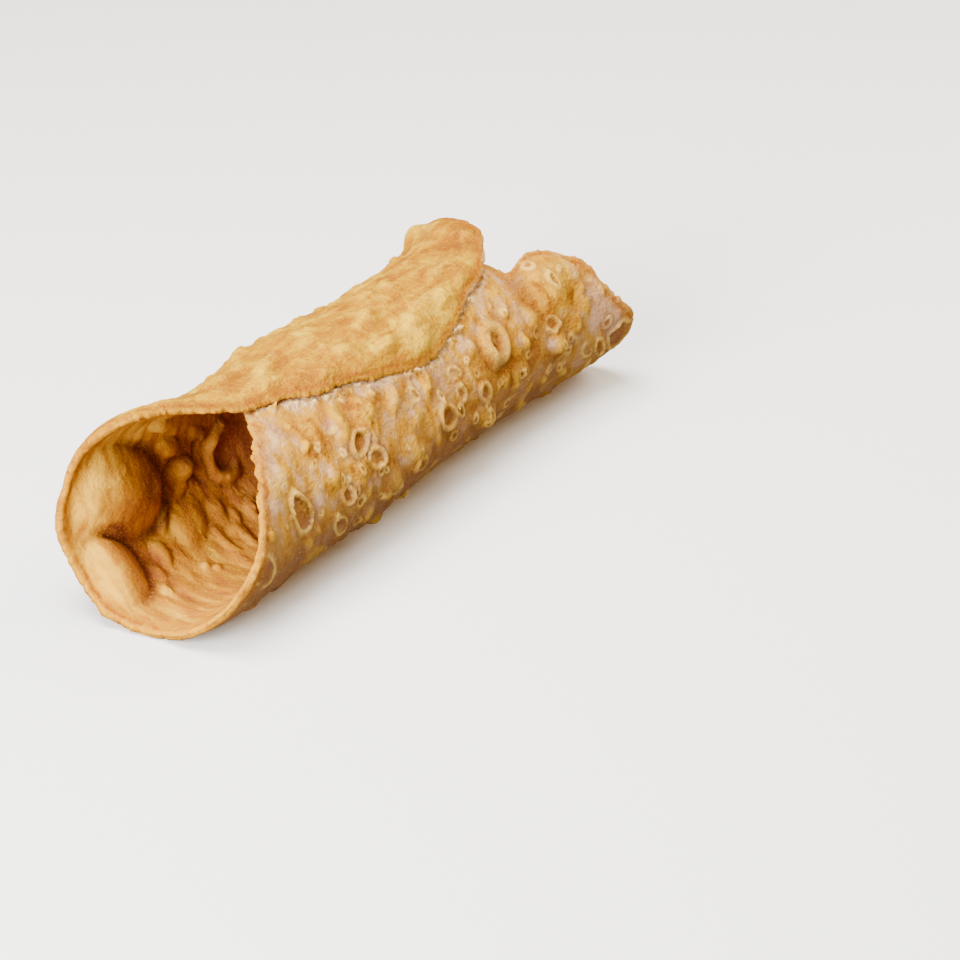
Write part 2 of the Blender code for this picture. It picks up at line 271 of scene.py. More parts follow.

# The same on the inside: partly its own browning and pale bumps, partly painted light and shade, paler on the
# great blister's flank towards the mouth and darker on the shaded sides, in crevices and deeper in.
INNER_BROWNING_LIGHT_AND_SHADE = [
    (6.0, 96, 6.0, 11.0, -20, -1.3),
    (1.5, 44, 2.6, 8.0, -6, -1.3),
    (15.5, 38, 3.0, 1.9, 89, -0.5),
    (12.2, 27, 2.2, 1.2, 85, -0.6),
    (10.0, 15, 2.2, 1.2, 80, -1.4),
    (29.5, 79, 3.0, 2.4, -34, -0.9),
    (20.5, 131, 4.6, 2.4, -35, -1.9),
    (36.5, 84, 6.0, 2.2, 60, -0.7),
    (38.5, 57, 2.2, 1.6, 0, -0.9),
    (20.5, 58, 4.4, 1.8, 56, -1.6),
    (25.0, 46, 5.6, 3.6, 40, -0.5),
    (5.0, 0, 4.0, 12.0, 5, -0.7),
    (14.0, 84, 6.5, 11.0, -30, 1.5),
    (7.4, 42, 4.4, 9.0, -6, 1.3),
    (12.0, 34, 3.0, 4.0, -6, 1.2),
    (25.5, 54, 1.5, 1.0, 43, 1.1),
    (31.0, 60, 5.0, 3.0, 40, 0.7),
    (45.0, 95, 12.0, 16.0, 0, 0.7),
    (28.0, 90, 5.0, 3.0, 60, 0.7),
]

# The grid of the disc before it is rolled, and the triangles kept of it.
CELLS_ALONG = 380
CELLS_ROUND = 400
LIP_CUTS = 3
KEPT_TRIANGLES = 196000

# The dough thins by this much from each side over the last stretch to its edge, and more at the flap.
TAPER_REACH = 4.0
LIP_TAPER = 0.35
FLAP_TAPER = 0.75

# Crumbs fill most of the gap under the flap's edge; past the edge they thin out over this many degrees.
CRUMB_FILL = 0.85
CRUMB_REACH = 7.0

# The floury strip beside the flap's edge reaches this many degrees out.
FLOURY_STRIP = 6.5

# How wide the browner band along the dough's edge is, and where its toasted line runs.
EDGE_BAND = 2.8
EDGE_LINE_AT = 0.55
EDGE_LINE_WIDTH = 0.5

# Where the origin lies on the roll, under the middle of the part's box.
ORIGIN_ALONG = 61.739
ORIGIN_ACROSS = 0.013

# The camera stands where the photograph was taken from.
CAMERA_PLACE = (-0.44137, -0.33538, 0.33437)
CAMERA_TURN = 34.86
CAMERA_DOWN = 31.0
CAMERA_FIELD = 16.0


def ease(share):
    """A step from 0 to 1 with soft ends."""
    share = np.clip(share, 0.0, 1.0)
    return share * share * (3.0 - 2.0 * share)


def hump(distance):
    return np.exp(-distance * distance)


def chance(column, row, layer, seed):
    """A fixed random number from 0 to 1 for each cell of a lattice."""
    key = column * 73856093 ^ row * 19349663 ^ layer * 83492791 ^ seed * 2654435
    key = (key ^ (key >> 13)) * 1274126177
    key = (key ^ (key >> 16)) & 0xFFFFFF
    return key / float(0xFFFFFF)


def lumps(first, second, third=0.0, seed=0):
    """Smooth noise from -1 to 1 with lumps about one unit wide."""
    first, second, third = np.broadcast_arrays(first, second, third)
    low = [np.floor(values).astype(np.int64) for values in (first, second, third)]
    rest = [ease(values - start) for values, start in zip((first, second, third), low)]
    total = np.zeros(first.shape)
    for corner in range(8):
        step = (corner & 1, corner >> 1 & 1, corner >> 2 & 1)
        share = np.ones(first.shape)
        for axis in range(3):
            share = share * (rest[axis] if step[axis] else 1.0 - rest[axis])
        total = total + share * chance(low[0] + step[0], low[1] + step[1], low[2] + step[2], seed)
    return 2.0 * total - 1.0


def rough(first, second, seed=0, octaves=3):
    """Noise on noise, each finer and weaker than the last."""
    total = 0.0
    weight = 1.0
    for octave in range(octaves):
        total = total + weight * lumps(first * 2 ** octave, second * 2 ** octave, 0.0, seed + octave)
        weight = weight * 0.5
    return total


def roll_radius(along):
    """Radius of the roll's middle surface, flared at the mouth and the tail."""
    mouth = MOUTH_FLARE * hump((along - MOUTH_FLARE_AT) / MOUTH_FLARE_REACH)
    belly = BELLY_SWELL * hump((along - BELLY_AT) / BELLY_REACH)
    reach = LENGTH - TAIL_FLARE_FROM
    tail = TAIL_FLARE * (np.maximum(along - TAIL_FLARE_FROM, 0.0) / reach) ** 2
    return ROLL_RADIUS + mouth + belly + tail


def lap_step(turn):
    """The upper flap stands out by half a wall and gap, the lower one in by as much."""
    step = (WALL + LAP_GAP) / 2.0
    return step * (ease((turn - LAP_STARTS) / LAP_TURN) - ease((-turn - LAP_STARTS) / LAP_TURN))


def flap_lift(along, turn):
    """The flap's far corner stands up, and its edge near the mouth gapes."""
    corner = FAR_CORNER_LIFT * ease((along - 92.0) / 12.0) * ease((turn - 115.0) / 30.0)
    gape = FLAP_EDGE_LIFT * ease((turn - 190.0) / 25.0) * hump((along - 32.0) / 16.0)
    return corner + gape


def slow_waves(along, turn):
    """The slow unevenness of a shell that fried freely."""
    angle = np.radians(turn)
    swell = 0.30 * np.sin(along / 7.5 + 1.1 * np.sin(angle)) * np.cos(2.0 * angle + 0.5)
    drift = 0.25 * np.sin(along / 12.0 + 2.0 * angle)
    return (swell + drift) * (1.0 - hump(turn / UNDERSIDE_REACH))


def dough_edge(way):
    """Along and turn of the disc's edge, for a way round it in radians."""
    across = np.cos(way)
    around = np.sin(way)
    power = EDGE_BLUNTNESS
    size = (np.abs(across) ** power + np.abs(around) ** power) ** (-1.0 / power)
    share = np.ones_like(way)
    for place, reach, amount in EDGE_WAVES:
        apart = np.degrees(way) - place
        apart = (apart + 180.0) % 360.0 - 180.0
        share = share + amount * hump(apart / reach)
    share = share + 0.004 * np.sin(17.0 * way) + 0.003 * np.sin(29.0 * way + 1.0)
    along = LENGTH / 2.0 * (1.0 + share * size * across)
    return along, MIDDLE_TURN + HALF_TURN * share * size * around


def disc_point(left, up, growth):
    """Along and turn for a point of the square grid, each square ring drawn out to a round one."""
    wide = np.abs(left) >= np.abs(up)
    reach = np.maximum(np.abs(left), np.abs(up))
    safe = np.maximum(reach, 1e-9)
    eighth = math.pi / 4.0
    near_along = eighth * up / safe * np.sign(left) + np.where(left < 0.0, math.pi, 0.0)
    near_round = math.pi / 2.0 * np.sign(up) - eighth * left / safe * np.sign(up)
    way = np.where(wide, near_along, near_round)
    edge_along, edge_turn = dough_edge(way)
    along = LENGTH / 2.0 + (edge_along - LENGTH / 2.0) * reach * growth
    return along, MIDDLE_TURN + (edge_turn - MIDDLE_TURN) * reach * growth, reach, way


def flap_edge(along, side):
    """Turn of a flap's edge at each place along: side 1 is the upper flap, side -1 the lower."""
    way = side * np.linspace(0.02, math.pi - 0.02, 400)
    edge_along, edge_turn = dough_edge(way)
    order = np.argsort(edge_along)
    return np.interp(along, edge_along[order], edge_turn[order])


def blister_reach(along, turn, blister, raggedness=0.0):
    """How far a point is from a blister's middle, in shares of its uneven outline."""
    middle, middle_turn, half_length, half_width, lean = blister[:5]
    forward = along - middle
    sideways = np.radians(turn - middle_turn) * roll_radius(np.asarray(middle))
    cos_lean = math.cos(math.radians(lean))
    sin_lean = math.sin(math.radians(lean))
    long_way = (forward * cos_lean + sideways * sin_lean) / half_length
    short_way = (sideways * cos_lean - forward * sin_lean) / half_width
    way = np.arctan2(short_way, long_way)
    phase = 1.7 * middle + 0.9 * middle_turn
    wobble = np.sin(2.0 * way + phase) + 0.7 * np.sin(3.0 * way + 2.3 * phase) + 0.4 * np.sin(5.0 * way - phase)
    return np.hypot(long_way, short_way) * (1.0 + raggedness * wobble), way + phase


class Skin:
    """Heights and masks of one skin of the dough, filled in blister by blister."""

    def __init__(self, along, turn):
        self.along = along
        self.turn = turn
        self.arc = np.radians(turn) * ROLL_RADIUS
        self.height = np.zeros_like(along)
        self.rim = np.zeros_like(along)
        self.floor = np.zeros_like(along)
        self.top = np.zeros_like(along)
        # The crease mask marks where shade is painted: in creases and folds, round blister feet, in pits and in
        # slits.
        self.crease = np.zeros_like(along)

    def near(self, blister, reach_limit):
        """The points that a blister can touch."""
        size = max(blister[2], blister[3]) * reach_limit + 0.8
        close = np.abs(self.along - blister[0]) < size
        close &= np.abs(self.arc - math.radians(blister[1]) * ROLL_RADIUS) < size
        return np.nonzero(close)[0]

    def dome(self, blister, tint=1.0):
        """A closed blister: a round hump with a golden top, outside painted paler partly as a highlight."""
        here = self.near(blister, 1.2)
        reach, _ = blister_reach(self.along[here], self.turn[here], blister, 0.07)
        rise = ease(1.1 * (1.0 - reach))
        self.height[here] += blister[5] * rise
        self.top[here] = np.maximum(self.top[here], tint * rise)
        # Painted shade round the blister's foot.
        foot = hump((reach - 0.98) / 0.20) * min(1.0, blister[5] / 1.4)
        self.crease[here] = np.maximum(self.crease[here], 0.6 * foot)

    def full_dome(self, blister):
        """A big blister with a full round top; it meets the wall in a crease on its inner side, where shade is
        painted.
        """
        here = self.near(blister, 1.3)
        reach, _ = blister_reach(self.along[here], self.turn[here], blister, 0.035)
        inside = np.minimum(reach, 1.0)
        rise = blister[5] * (1.0 - inside ** 2) ** ROUNDNESS
        self.height[here] = np.maximum(self.height[here], rise)
        self.top[here] = np.maximum(self.top[here], ease(1.4 * (1.0 - reach)))
        inward = ease(0.5 + (self.along[here] - blister[0]) / blister[2])
        foot = hump((reach - 1.05) / 0.14) * min(1.0, blister[5] / 2.5) * inward
        self.crease[here] = np.maximum(self.crease[here], foot)
        self.top[here] *= 1.0 - foot

    def fold(self, blister):
        """A narrow crease pressed into the skin, with shade painted into it."""
        here = self.near(blister, 1.6)
        reach, _ = blister_reach(self.along[here], self.turn[here], blister, 0.06)
        sink = hump(reach)
        self.height[here] -= blister[5] * sink
        self.crease[here] = np.maximum(self.crease[here], sink)

    def burst(self, blister):
        """A blister that broke: an uneven pale rim with a torn inner edge round a sunk brown floor."""
        here = self.near(blister, 1.6)
        reach, way = blister_reach(self.along[here], self.turn[here], blister, 0.08)
        size = math.sqrt(blister[2] * blister[3])
        rim_half = 0.29 + 0.08 * size
        torn = 0.5 * np.sin(5.0 * way) + 0.4 * np.sin(9.0 * way + 2.0) + 0.3 * np.sin(14.0 * way + 1.0)
        wide = 1.0 + 0.35 * np.sin(way) + 0.15 * np.sin(2.0 * way + 2.0)
        from_rim = (reach - 1.0) * size + rim_half
        rim = hump(from_rim / (rim_half * wide))
        hollow = ease(-(from_rim / rim_half + 0.35 * torn) / (0.9 * wide))
        crumbs = rough(self.along[here] / 0.7, self.arc[here] / 0.7, 23)
        uneven = 0.85 + 0.30 * np.sin(way) + 0.12 * torn
        self.height[here] += blister[5] * uneven * rim - 0.75 * blister[6] * hollow * (1.0 + 0.35 * crumbs)
        self.rim[here] = np.maximum(self.rim[here], (1.0 - hollow) * rim * np.clip(0.3 + uneven, 0.0, 1.0))
        self.floor[here] = np.maximum(self.floor[here], hollow)
        # Painted shade round the rim's outer foot, and in the pit of a deep floor.
        foot = hump((from_rim - 1.9 * rim_half) / (0.8 * rim_half))
        self.crease[here] = np.maximum(self.crease[here], 0.7 * foot)
        pit = hollow * min(1.0, blister[6] / 3.0)
        self.crease[here] = np.maximum(self.crease[here], pit * (0.6 + 0.4 * crumbs))

    def ring(self, blister):
        """A blister like a bent tube: a round golden wall about a sunk middle with a slit; shade is painted in
        the slit and round its foot.
        """
        here = self.near(blister, 2.0)
        reach, way = blister_reach(self.along[here], self.turn[here], blister, 0.05)
        size = math.sqrt(blister[2] * blister[3])
        across = (reach - 1.0) * size / blister[6]
        uneven = 0.80 + 0.28 * np.sin(way) + 0.12 * np.sin(3.0 * way)
        tube = np.maximum(1.0 - across ** 2, 0.0) ** 0.8
        middle = ease(-across)
        crumbs = rough(self.along[here] / 0.7, self.arc[here] / 0.7, 27)
        self.height[here] += blister[5] * (uneven * tube - 0.45 * middle * (1.0 + 0.3 * crumbs))
        self.rim[here] = np.maximum(self.rim[here], 0.55 * uneven * tube * hump((across + 0.1) / 0.8))
        self.floor[here] = np.maximum(self.floor[here], middle)
        foot = hump((across - 1.25) / 0.5)
        slit = hump((reach - 0.15) / 0.4) * middle * np.clip(0.8 + crumbs, 0.0, 1.0)
        self.crease[here] = np.maximum(self.crease[here], np.maximum(0.8 * foot, 0.8 * slit))

    def bow(self, blister):
        """A bent tube that bulges towards the mouth and dies out behind."""
        here = self.near(blister, 2.0)
        reach, _ = blister_reach(self.along[here], self.turn[here], blister, 0.03)
        size = math.sqrt(blister[2] * blister[3])
        across = (reach - 1.0) * size / blister[6]
        front = ease(0.9 - (self.along[here] - blister[0]) / blister[2])
        tube = np.maximum(1.0 - across ** 2, 0.0) ** 0.8 * front
        self.height[here] = np.maximum(self.height[here], blister[5] * tube)
        self.top[here] = np.maximum(self.top[here], tube)
        # Painted shade round the tube's foot.
        foot = hump((np.abs(across) - 1.2) / 0.4) * front
        self.crease[here] = np.maximum(self.crease[here], 0.6 * foot)


def strewn(seed, count, along_range, turn_range, size_range, stretch, lean, lean_spread):
    """Seeded blisters strewn over a stretch of the sheet, most of them small."""
    pick = np.random.RandomState(seed)
    blisters = []
    for _ in range(count):
        size = size_range[0] + (size_range[1] - size_range[0]) * pick.rand() ** 2.0
        long_half = size * pick.uniform(1.0, stretch)
        along = pick.uniform(*along_range)
        turn = pick.uniform(*turn_range)
        blisters.append((along, turn, long_half, size, lean + pick.uniform(-lean_spread, lean_spread)))
    return blisters


def strewn_by_the_flap(seed, count, past_range, size_range):
    """Tiny blisters on the near side, close under the flap's edge."""
    pick = np.random.RandomState(seed)
    along = pick.uniform(24.0, 101.0, count)
    past = past_range[0] + (past_range[1] - past_range[0]) * pick.rand(count) ** 1.6
    turn = flap_edge(along, 1) - 360.0 + past
    size = pick.uniform(*size_range, count)
    return [(along[i], turn[i], size[i] * 1.3, size[i], 40.0 * i) for i in range(count)]


def crust_warmth(along, turn, patches):
    """How far each place browned, from floury at -1 to toasted at 1, before its noise; where patches paint light
    and shade, how much paler or darker it is painted.
    """
    warmth = np.zeros_like(along)
    for patch in patches:
        reach, _ = blister_reach(along, turn, patch, 0.10)
        warmth = warmth + patch[5] * hump(reach)
    return warmth


def outer_skin(along, turn):
    """The outside: golden, streaked flap and back, and a floury, blistered near side."""
    skin = Skin(along, turn)
    for blister in OUTER_BLISTERS:
        skin.dome(blister)
    for blister in VALLEYS:
        skin.fold(blister)
    for blister in strewn(3, 120, (6, 123), (-172, 0), (0.9, 3.2), 2.0, 80, 30):
        skin.dome(blister + (0.22 + 0.20 * blister[3],), 0.9)
    for blister in strewn(4, 110, (4, 124), (0, 120), (0.9, 3.6), 1.6, 60, 60):
        skin.dome(blister + (0.25 + 0.12 * blister[3],), 0.9)
    for blister in strewn(5, 120, (14, 108), (120, 224), (0.8, 3.4), 1.8, 0, 40):
        skin.dome(blister + (0.15 + 0.17 * blister[3],), 0.8)
    for blister in strewn(6, 48, (26, 120), (-150, -30), (0.6, 1.3), 1.8, 80, 30):
        skin.burst(blister + (0.32, 0.3))
    for blister in strewn(16, 30, (26, 118), (-112, -30), (0.5, 1.0), 1.7, 60, 60):
        skin.ring(blister + (0.3, 0.45))
    for blister in strewn(7, 26, (6, 122), (0, 120), (0.7, 2.2), 1.6, 60, 60):
        skin.burst(blister + (0.4, 0.35))
    for blister in strewn(8, 260, (2, 124), (-205, 225), (0.22, 0.55), 1.2, 0, 90):
        skin.dome(blister + (0.22,), 1.0)
    for blister in strewn(10, 420, (12, 108), (120, 224), (0.22, 0.55), 1.6, 0, 90):
        skin.dome(blister + (0.20,), 1.0)
    for blister in strewn_by_the_flap(9, 170, (0.6, 6.5), (0.32, 0.75)):
        skin.dome(blister + (0.55,), 1.0)
    for blister in strewn_by_the_flap(12, 80, (0.8, 5.5), (0.28, 0.50)):
        skin.burst(blister + (0.1, 0.6))
    for blister in BURST_BLISTERS:
        skin.burst(blister)
    for blister in RING_BLISTERS:
        skin.ring(blister)
    past_edge = turn + 360.0 - flap_edge(along, 1)
    bare = np.where(turn < 0.0, ease(past_edge / COVERED_START), 1.0)
    on_flap = ease((turn - 115.0) / 30.0)
    streaks = rough(along / 9.0, skin.arc / 1.6, 31) * on_flap
    swells = rough(along / 7.0, skin.arc / 5.0, 35) * on_flap
    ripples = rough(along / 1.6, skin.arc / 4.5, 37) * (1.0 - on_flap)
    folds = rough(along / 3.6, skin.arc / 11.0, 38, 2) * (1.0 - on_flap)
    lumpy = lumps(along / 4.2, skin.arc / 6.5, 0.0, 39) * (1.0 - on_flap)
    grit = rough(along / 0.9, skin.arc / 0.9, 41)
    grooves = (1.0 - np.abs(lumps(along / 2.7, skin.arc / 7.5, 0.0, 43))) ** 5 * (1.0 - on_flap)
    cracks = (1.0 - np.abs(lumps(along / 6.0, skin.arc / 2.6, 0.0, 44))) ** 6 * on_flap
    skin.height += 0.07 * streaks + 0.34 * swells + 0.14 * ripples + 0.34 * folds + 0.28 * lumpy + 0.06 * grit
    skin.height -= 0.20 * grooves + 0.12 * cracks
    # Painted shade in the grooves of the near side and the cracks of the flap.
    skin.crease = np.maximum(skin.crease, 0.45 * grooves + 0.35 * cracks)
    underside = hump(turn / UNDERSIDE_REACH)
    skin.height *= bare * (1.0 - underside)
    gap = LAP_GAP + flap_lift(along, turn + 360.0)
    packed = CRUMB_FILL * hump(past_edge / CRUMB_REACH) * (0.8 + 0.3 * rough(along / 1.3, skin.arc / 1.3, 45))
    skin.height = np.maximum(skin.height, gap * np.clip(packed, 0.0, CRUMB_FILL) * (turn < 0.0))
    return skin


def inner_skin(along, turn):
    """The inside: big soft blisters, creases between them and wrinkles."""
    skin = Skin(along, turn)
    for blister in INNER_BLISTERS:
        skin.full_dome(blister)
    skin.bow(INNER_BOW)
    for blister in INNER_CREASES:
        skin.fold(blister)
    for blister in strewn(13, 80, (4, 122), (-120, 150), (1.0, 3.4), 1.8, 70, 40):
        skin.dome(blister + (0.22 + 0.12 * blister[3],), 0.8)
    for blister in strewn(14, 120, (2, 122), (-120, 180), (0.25, 0.6), 1.2, 0, 90):
        skin.dome(blister + (0.2,), 1.0)
    past_edge = flap_edge(along, -1) + 360.0 - turn
    bare = np.where(turn > 90.0, ease(past_edge / COVERED_START), 1.0)
    wrinkles = rough(along / 1.9, skin.arc / 9.0, 47)
    grit = rough(along / 1.0, skin.arc / 1.0, 53)
    skin.height += 0.20 * wrinkles * (1.0 - 0.6 * skin.top) + 0.04 * grit
    skin.height *= bare
    return skin


def roll_place(along, turn, offset):
    """Where a point of the sheet comes to once it is rolled, resting on the table."""
    angle = np.radians(turn)
    axis_height = roll_radius(along) + WALL / 2.0
    radius = roll_radius(along) + lap_step(turn) + flap_lift(along, turn)
    radius = radius + slow_waves(along, turn) + offset
    across = radius * np.sin(angle)
    height = axis_height - radius * np.cos(angle)
    return np.stack([along, across, height], axis=-1)


def select_nothing():
    for item in bpy.context.selected_objects:
        item.select_set(False)


def flat_pancake():
    """The dough disc as a flat slab: a grid extruded upright, its side walls cut for the round lip."""
    select_nothing()
    bpy.ops.mesh.primitive_grid_add(x_subdivisions=CELLS_ALONG, y_subdivisions=CELLS_ROUND, size=2.0)
    slab = bpy.context.object
    slab.name = "fried_shell"
    bpy.ops.object.mode_set(mode="EDIT")
    bpy.ops.mesh.select_all(action="SELECT")
    bpy.ops.mesh.extrude_region_move(TRANSFORM_OT_translate={"value": (0.0, 0.0, 1.0)})
    bpy.ops.object.mode_set(mode="OBJECT")
    data = slab.data
    places = np.empty(len(data.vertices) * 3)
    data.vertices.foreach_get("co", places)
    high = places.reshape(-1, 3)[:, 2] > 0.5
    ends = np.empty(len(data.edges) * 2, dtype=np.int32)
    data.edges.foreach_get("vertices", ends)
    ends = ends.reshape(-1, 2)
    upright = high[ends[:, 0]] != high[ends[:, 1]]
    data.vertices.foreach_set("select", np.zeros(len(data.vertices), dtype=bool))
    data.polygons.foreach_set("select", np.zeros(len(data.polygons), dtype=bool))
    data.edges.foreach_set("select", upright)
    bpy.ops.object.mode_set(mode="EDIT")
    bpy.ops.mesh.select_mode(type="EDGE")
    bpy.ops.object.mode_set(mode="OBJECT")
    data.edges.foreach_set("select", upright)
    bpy.ops.object.mode_set(mode="EDIT")
    bpy.ops.mesh.subdivide(number_cuts=LIP_CUTS)
    bpy.ops.mesh.select_mode(type="VERT")
    bpy.ops.mesh.select_all(action="SELECT")
    bpy.ops.mesh.normals_make_consistent(inside=False)
    bpy.ops.object.mode_set(mode="OBJECT")
    return slab


def rest_on_table(places, level):
    """Stand the roll on three small blisters just over the table."""
    height = places[:, 2] - places[:, 2].min() - FLAT_SPOT
    places[:, 2] = np.maximum(height, NUB_HEIGHT)
    for along, across in NUBS:
        distance = np.hypot(places[:, 0] - along, places[:, 1] - across)
        under = (level > 0.5) & (places[:, 2] < 4.0)
        share = ease(1.2 * (1.0 - distance / NUB_REACH)) * under
        places[:, 2] *= 1.0 - share


def keep_mask(data, name, values):
    layer = data.attributes.new(name, "FLOAT", "POINT")
    layer.data.foreach_set("value", np.ascontiguousarray(values, dtype=np.float32))


def rolled_shell():
    """The pancake rolled up with its relief, its masks kept for the crust's colours."""
    shell = flat_pancake()
    data = shell.data
    flat = np.empty(len(data.vertices) * 3)
    data.vertices.foreach_get("co", flat)
    flat = flat.reshape(-1, 3)
    level = flat[:, 2]
    lip_share = np.sqrt(np.maximum(1.0 - (2.0 * level - 1.0) ** 2, 0.0))
    along, turn, reach, way = disc_point(flat[:, 0], flat[:, 1], 1.0)
    arc = np.radians(turn) * ROLL_RADIUS
    crumble = 0.24 * rough(along / 0.9, arc / 0.9, 61) + 0.34 * lumps(along / 2.6, arc / 2.6, level * 3.0, 62)
    torn = 1.0 + 1.6 * hump((turn + 140.0) / 25.0) * hump(along / 30.0)
    crumble = crumble * torn
    edge_zone = ease((reach - 0.955) / 0.045)
    growth = 1.0 + (lip_share * LIP_ROUNDING + edge_zone * crumble) / (LENGTH / 2.0)
    along, turn, reach, way = disc_point(flat[:, 0], flat[:, 1], growth)
    outer = outer_skin(along, turn)
    inner = inner_skin(along, turn)
    from_edge = (1.0 - reach) * LENGTH / 2.0
    outer.height *= ease(from_edge / OUTER_LIP_REACH)
    inner.height *= ease(from_edge / INNER_LIP_REACH)
    thinned = 1.0 - ease(from_edge / TAPER_REACH)
    outer.height -= (LIP_TAPER + FLAP_TAPER * ease((turn - 140.0) / 40.0)) * thinned
    inner.height -= LIP_TAPER * thinned * (1.0 - ease((turn - 120.0) / 30.0))
    skin = level * outer.height - (1.0 - level) * inner.height
    places = roll_place(along, turn, (level - 0.5) * WALL + skin)
    rest_on_table(places, level)
    places[:, 0] -= ORIGIN_ALONG
    places[:, 1] -= ORIGIN_ACROSS
    data.vertices.foreach_set("co", (places * MM).astype(np.float32).ravel())
    keep_mask(data, "outside", level)
    keep_mask(data, "lip", lip_share * (reach > 0.985))
    keep_mask(data, "edge", ease(1.0 - from_edge / EDGE_BAND))
    keep_mask(data, "edge_line", hump((from_edge - EDGE_LINE_AT) / EDGE_LINE_WIDTH) * (lip_share < 0.5))
    # The warmth mask carries browning and flour, and the painted light and shade of the patches, most of them
    # inside.
    outer_warmth = crust_warmth(along, turn, CRUST_PATCHES)
    inner_warmth = crust_warmth(along, turn, INNER_BROWNING_LIGHT_AND_SHADE)
    keep_mask(data, "warmth", level * outer_warmth + (1.0 - level) * inner_warmth)
    # How low on the roll a point lies, for the painted shade of the lower side.
    keep_mask(data, "underside", ease((112.0 - np.abs(turn)) / 50.0))
    for name in ("rim", "floor", "top", "crease"):
        mixed = level * getattr(outer, name) + (1.0 - level) * getattr(inner, name)
        keep_mask(data, "blister_" + name, mixed)
    keep_mask(data, "height", level * outer.height + (1.0 - level) * inner.height)
    keep_mask(data, "on_flap", ease((turn - 105.0) / 30.0))
    past_flap = (turn + 360.0 - flap_edge(along, 1)) * (turn < 0.0) + 99.0 * (turn >= 0.0)
    floury_reach = FLOURY_STRIP * (1.0 + 0.6 * rough(along / 3.0, arc / 3.0, 63))
    keep_mask(data, "under_flap", level * ease(1.4 * (1.0 - past_flap / floury_reach)))
    keep_mask(data, "along_mm", along)
    keep_mask(data, "arc_mm", arc + 200.0 * (1.0 - level))
    data.update()
    thin = shell.modifiers.new("keep what shows", "DECIMATE")
    triangles = sum(len(face.vertices) - 2 for face in data.polygons)
    thin.ratio = KEPT_TRIANGLES / triangles
    bpy.ops.object.modifier_apply(modifier=thin.name)
    bpy.ops.object.shade_smooth()
    return shell


class Nodes:
    """A short way to lay out shader nodes."""

    def __init__(self, tree):
        self.tree = tree

    def put(self, kind, **settings):
        node = self.tree.nodes.new(kind)
        for name, value in settings.items():
            setattr(node, name, value)
        return node

    def feed(self, socket, value):
        if hasattr(value, "links"):
            self.tree.links.new(value, socket)
        else:
            socket.default_value = value

    def attribute(self, name):
        return self.put("ShaderNodeAttribute", attribute_name=name).outputs["Fac"]

    def math(self, operation, first, second=0.0, third=0.0):
        node = self.put("ShaderNodeMath", operation=operation)
        for socket, value in zip(node.inputs, (first, second, third)):
            self.feed(socket, value)
        return node.outputs[0]

    def ramp(self, value, low, high):
        """Spread a value's span from low to high over 0 to 1."""
        node = self.put("ShaderNodeMapRange", interpolation_type="SMOOTHSTEP")
        self.feed(node.inputs["Value"], value)
        node.inputs["From Min"].default_value = low
        node.inputs["From Max"].default_value = high
        return node.outputs["Result"]

    def mix(self, share, first, second, blend="MIX"):
        node = self.put("ShaderNodeMix", data_type="RGBA", blend_type=blend)
        self.feed(node.inputs["Factor"], share)
        self.feed(node.inputs["A"], first)
        self.feed(node.inputs["B"], second)
        return node.outputs["Result"]

    def spread(self, value, gain, middle):
        """Stretch a noise about its middle value of a half."""
        return self.math("MULTIPLY_ADD", value, gain, middle - 0.5 * gain)

    def colors(self, value, stops):
        """A run of colours, each at its place along a value from 0 to 1."""
        node = self.put("ShaderNodeValToRGB")
        run = node.color_ramp
        self.feed(node.inputs["Fac"], value)
        while len(run.elements) < len(stops):
            run.elements.new(1.0)
        for element, (position, chip) in zip(run.elements, stops):
            element.position = position
            element.color = chip
        return node.outputs["Color"]

    def noise(self, vector, scale, detail=3.0, roughness=0.55, distortion=0.0):
        node = self.put("ShaderNodeTexNoise")
        self.feed(node.inputs["Vector"], vector)
        node.inputs["Scale"].default_value = scale
        node.inputs["Detail"].default_value = detail
        node.inputs["Roughness"].default_value = roughness
        node.inputs["Distortion"].default_value = distortion
        return node.outputs["Fac"]

    def cells(self, vector, scale):
        node = self.put("ShaderNodeTexVoronoi", feature="SMOOTH_F1")
        self.feed(node.inputs["Vector"], vector)
        node.inputs["Scale"].default_value = scale
        return node.outputs["Distance"]

    def stretch(self, vector, scale):
        node = self.put("ShaderNodeMapping")
        self.feed(node.inputs["Vector"], vector)
        node.inputs["Scale"].default_value = scale
        return node.outputs["Vector"]


def color(red, green, blue):
    """A colour as a paint chip gives it, turned to the light values that shaders use."""
    chip = []
    for part in (red, green, blue):
        part = part / 255.0
        chip.append(part / 12.92 if part <= 0.04045 else ((part + 0.055) / 1.055) ** 2.4)
    return (chip[0], chip[1], chip[2], 1.0)


# The near side from floury to toasted, set paler than the flap partly as painted light, then the flap, which is
# golden all over, and the painted shade of the hollows.
FLOUR_LILAC = color(216, 170, 130)
FLOURED = color(208, 158, 94)
BEIGE = color(204, 148, 44)
GOLDEN = color(204, 141, 12)
ORANGE = color(152, 92, 10)
FLAP_CREAM = color(226, 178, 38)
FLAP_PALE = color(202, 148, 6)
FLAP_GOLD = color(186, 126, 6)
FLAP_ORANGE = color(160, 98, 6)
CRUMB_WHITE = color(234, 200, 154)
FLAP_EDGE = color(150, 92, 12)
HOLLOW_SHADE_PINK = color(150, 96, 66)

# Blisters: their tops, partly painted highlight, their broken rims and their sunk floors; then toasted specks
# that also paint shade in creases, and the painted shade of the lower side.
PALE_CRUST_AND_HIGHLIGHT = color(222, 174, 42)
RIM_CREAM = color(232, 184, 88)
CRATER_BROWN = color(140, 82, 40)
TOASTED_AND_CREASE_SHADE = color(126, 68, 24)
UNDERSIDE_SHADE_TAN = color(130, 82, 54)

